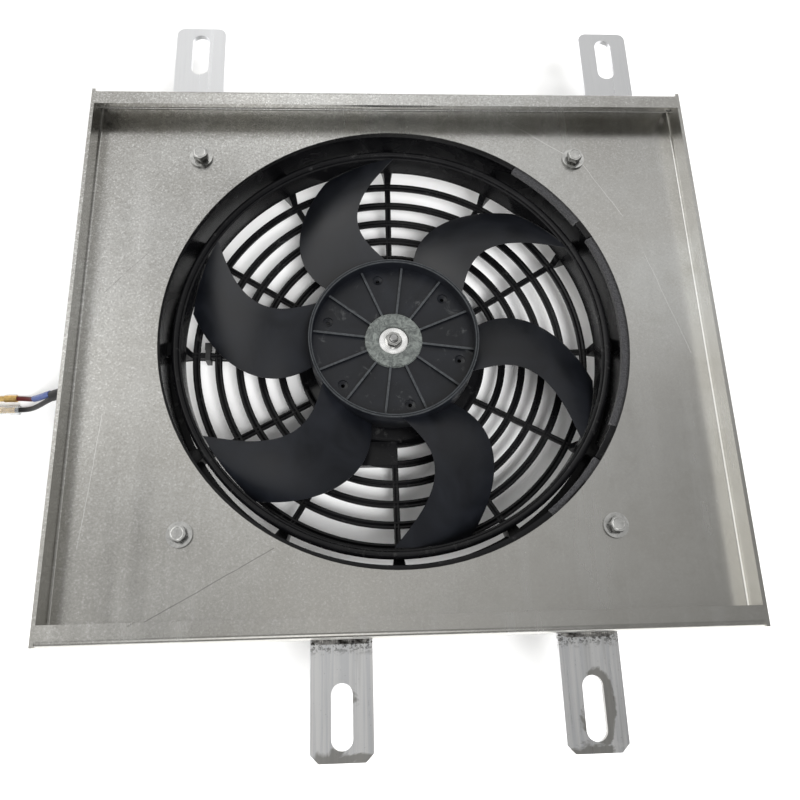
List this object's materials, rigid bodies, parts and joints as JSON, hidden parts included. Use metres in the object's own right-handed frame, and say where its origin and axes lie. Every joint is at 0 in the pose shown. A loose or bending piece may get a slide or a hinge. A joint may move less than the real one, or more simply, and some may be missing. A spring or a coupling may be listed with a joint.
{
  "type": "oil cooler fan and shroud",
  "caption": "Oil cooler fan unit: sickle-bladed impeller on a flat motor, black housing and ring grille, in a square sheet-metal shroud pan with slotted mounting bars and short supply leads.",
  "frame": {"origin": "centre of the motor's flat back, on the fan shaft's axis", "axes": "+Z along the shaft, towards the open side of the pan; +Y towards the pair of widely spaced brackets; +X to the right, away from the leads"},
  "size_m": [0.533, 0.539, 0.0835],
  "materials": {
    "pan_sheet": "satin, faintly mottled",
    "bracket_alu": "satin",
    "bracket_steel": "brushed along its length, stained",
    "weld": "rough bead",
    "black_plastic": "fine grain",
    "foam": "open foam",
    "zinc": "zinc plated",
    "black_steel": "black coat",
    "bronze": "sintered",
    "ferrite": "dull",
    "card": "phenolic card",
    "brass": "bright",
    "carbon": "carbon",
    "spring_steel": "drawn",
    "steel": "ground",
    "core_steel": "laminated",
    "copper": "enamelled",
    "black_rubber": "smooth",
    "red_insulation": "smooth",
    "blue_sleeve": "smooth",
    "clear_boot": "clear soft vinyl"
  },
  "bodies": {
    "cooler": {"shroud_pan": "pan_sheet", "corner_welds": "weld", "bracket_top_left": "bracket_alu", "bracket_top_right": "bracket_alu", "bracket_bottom_left": "bracket_steel", "bracket_bottom_right": "bracket_steel", "bracket_welds": "weld", "fan_housing": "black_plastic", "fan_duct": "black_plastic", "duct_ribs": "black_plastic", "fan_grille": "black_plastic", "foam_strips": "foam", "fan_bolts": "zinc", "spring_washers": "zinc", "flat_washers": "zinc", "back_washers": "zinc", "back_nuts": "zinc", "motor_can": "black_steel", "motor_end_cap": "black_steel", "motor_screws": "zinc", "front_bush": "bronze", "rear_bush": "bronze", "magnets": "ferrite", "brush_card": "card", "brush_holders": "brass", "brushes": "carbon", "brush_springs": "spring_steel", "motor_lead": "black_rubber", "cable_ties": "black_plastic", "lead_grommet": "black_rubber", "lead_sleeve": "black_rubber", "lead_red": "red_insulation", "blue_sleeve": "blue_sleeve", "lead_black": "black_rubber", "ring_terminal": "brass", "spade_terminal": "brass", "terminal_boot": "clear_boot"},
    "rotor": {"impeller": "black_plastic", "shaft": "steel", "cross_pin": "steel", "impeller_washer": "zinc", "impeller_nut": "zinc", "thrust_washers": "bronze", "armature_core": "core_steel", "windings": "copper", "commutator": "copper"}
  },
  "joints": [
    {"name": "fan_spin", "type": "hinge", "parent": "cooler", "child": "rotor", "pos_m": [0, 0, 0.04], "axis": [0, 0, 1], "continuous": true}
  ]
}
